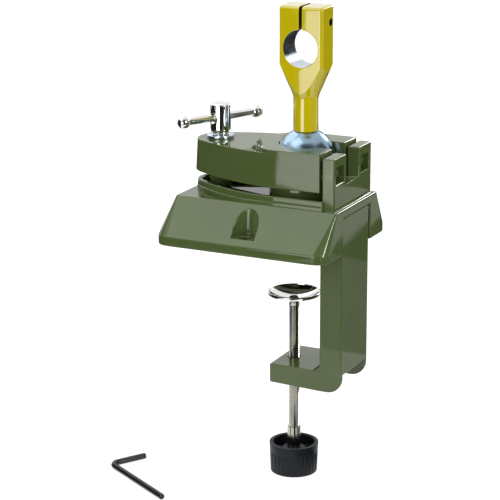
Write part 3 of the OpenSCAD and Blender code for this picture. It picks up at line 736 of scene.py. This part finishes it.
def ball_and_stud():
    edge = 0.5
    profile = arc(BALL_R, -90, 77, 60, cz=BALL_Z)
    profile[0] = (0, BALL_Z - BALL_R)
    profile += [(STUD_R, STUD_FOOT), (STUD_R, STUD_TOP - edge), (STUD_R - edge, STUD_TOP), (0, STUD_TOP)]
    return moved(turned(profile, 96), BALL_X)


def washer():
    hole = SCREW_R + 0.2
    edge = 0.35
    profile = [(hole, WASHER_LOW + 0.2), (hole + 0.2, WASHER_LOW)]
    profile += arc(edge, -90, 0, 4, WASHER_R - edge, WASHER_LOW + edge)
    profile += arc(edge, 0, 90, 4, WASHER_R - edge, WASHER_TOP - edge)
    profile += [(hole + 0.3, WASHER_TOP), (hole, WASHER_TOP - 0.3)]
    return moved(turned(profile, 72, closed=True), SCREW_X)


def along_bar(bm):
    """Turns a shape about Z into one about the tommy bar's axis."""
    rolled(bm, 90, "Y")
    rolled(bm, BAR_YAW, "Z")
    return moved(bm, SCREW_X, 0, BAR_Z)


def tommy_bar():
    end = BAR_HALF
    edge = 0.2
    profile = [(0, -end), (BAR_R - edge, -end), (BAR_R, edge - end)]
    profile += [(BAR_R, end - edge), (BAR_R - edge, end), (0, end)]
    return along_bar(turned(profile, 40))


def end_balls():
    """Two balls pressed on the bar, each with a small flat at its outer end."""
    flat = 68
    hole = BAR_R + 0.02
    flat_end = BAR_HALF + BAR_BALL_R * math.sin(math.radians(flat)) - 0.15
    profile = [(hole, BAR_HALF - 2.6)]
    profile += arc(BAR_BALL_R, -54, flat, 22, cz=BAR_HALF)
    profile += [(0, flat_end), (0, BAR_HALF), (hole, BAR_HALF)]
    bm = turned(profile, 48, closed=True)
    bmesh.ops.mirror(bm, geom=everything(bm), matrix=Matrix.Identity(4), merge_dist=-1, axis="Z")
    bmesh.ops.recalc_face_normals(bm, faces=bm.faces)
    return along_bar(bm)


def pressure_plate():
    """Dished plate with a rounded rim and a hole for its rivet."""
    edge = 0.5
    hole = RIVET_R + 0.05
    outer = DISH_R + PLATE_T
    inner_end = math.degrees(math.acos((PLATE_R - edge) / DISH_R))
    outer_end = math.degrees(math.acos((PLATE_R - 0.2) / outer))
    inner_hole = math.degrees(math.acos(hole / DISH_R))
    outer_hole = math.degrees(math.acos(hole / outer))
    profile = arc(DISH_R, -inner_hole, -inner_end, 24, cz=DISH_C)
    profile += arc(edge, 110, 0, 6, PLATE_R - edge, PLATE_RIM - edge)
    profile += arc(outer, -outer_end, -outer_hole, 24, cz=DISH_C)
    return turned(profile, 96, closed=True)


def plate_rivet():
    """Rivet with a domed head that lies in the dish."""
    head_r = 2 * RIVET_R
    end = SPINDLE_TOP - RIVET_DEPTH
    low = DISH_Z + 0.4
    profile = [(0, end), (RIVET_R, end), (RIVET_R, low), (head_r - 0.2, low)]
    dome = arc(1.5 * head_r, 48.2, 90, 10, cz=low - head_r)
    profile += dome[:-1] + [(0, dome[-1][1])]
    return turned(profile, 56)


def thread():
    """Helical thread: a toothed line spun once while it climbs by one pitch, cut flat at both ends."""
    steps = 28
    low, high = SPLINE_TOP, THREAD_TOP
    turns = int((high - low) / THREAD_PITCH) + 4
    points = []
    for i in range(turns):
        z = low - 2 * THREAD_PITCH + i * THREAD_PITCH
        points += [(r, 0, z + lift * THREAD_PITCH) for r, lift in THREAD_TOOTH]
    bm = spun(points, steps, dvec=(0, 0, THREAD_PITCH * MM / steps))
    bmesh.ops.remove_doubles(bm, verts=bm.verts, dist=MERGE_DIST)
    for height, side in ((low, -1), (high, 1)):
        bmesh.ops.bisect_plane(bm, geom=everything(bm), dist=1e-8, plane_co=(0, 0, height * MM),
                               plane_no=(0, 0, side), clear_outer=True)
    bmesh.ops.holes_fill(bm, edges=[e for e in bm.edges if e.is_boundary], sides=0)
    bmesh.ops.recalc_face_normals(bm, faces=bm.faces)
    return bm


def splines():
    """Splined end: one tooth's outline, repeated round the axis, filled and drawn out."""
    step = TURN / SPLINES
    outline = [(r * math.cos(a * step), r * math.sin(a * step), SPLINE_END) for r, a in SPLINE_TOOTH]
    bm = spun(outline, SPLINES, use_duplicate=True)
    bmesh.ops.remove_doubles(bm, verts=bm.verts, dist=MERGE_DIST)
    bmesh.ops.edgeloop_fill(bm, edges=bm.edges)
    drawn = bmesh.ops.extrude_face_region(bm, geom=bm.faces[:])["geom"]
    moved(bm, z=SPLINE_TOP - SPLINE_END, verts=[v for v in drawn if isinstance(v, bmesh.types.BMVert)])
    bmesh.ops.recalc_face_normals(bm, faces=bm.faces)
    bmesh.ops.bevel(bm, geom=bm.edges[:], offset=SPLINE_ROUND * MM, offset_type="OFFSET", segments=1, profile=0.5,
                    affect="EDGES", material=-1, clamp_overlap=True)
    return bm


def spindle():
    """Plain shank under the plate, thread, splines and a plain tail in the knob."""
    shank_r = SPINDLE_R - 0.12
    shank_low = THREAD_TOP - 1.2
    shank_edge = 0.3
    tail_top = SPLINE_END + 1
    tail_edge = 0.4
    shank = turned([(0, shank_low), (THREAD_ROOT_R, shank_low), (shank_r, THREAD_TOP),
                    (shank_r, SPINDLE_TOP - shank_edge), (shank_r - shank_edge, SPINDLE_TOP),
                    (0, SPINDLE_TOP)], 48)
    tail = turned([(0, SPINDLE_END), (SPINDLE_R - tail_edge, SPINDLE_END), (SPINDLE_R, SPINDLE_END + tail_edge),
                   (SPINDLE_R, tail_top), (0, tail_top)], 36)
    return joined(shank, thread(), splines(), tail)


add_piece("ball_stud_turned", ball_and_stud(), "ball", BALL_STEEL, ["ball_stud"])
add_piece("screw_washer_turned", washer(), "washer", ZINC, ["screw_washer"])
add_piece("tommy_bar_turned", tommy_bar(), "bar", CHROME, ["tommy_bar"])
add_piece("bar_end_balls_turned", end_balls(), "bar", CHROME, ["bar_end_balls"])
add_piece("pressure_plate_pressed", pressure_plate(), "plate", CHROME, ["pressure_plate"], sharp=50)
add_piece("plate_rivet_turned", plate_rivet(), "spindle", CHROME, ["plate_rivet"])
add_piece("spindle_threaded", spindle(), "spindle", NICKEL, ["spindle"], sharp=30)

# Solids that show as they are
for node in ("screw_nut", "pinch_screw", "arm_screws", "arm_washers", "spindle_bush"):
    mesh = NODES[node].data
    mesh.materials.clear()
    mesh.materials.append(ZINC)
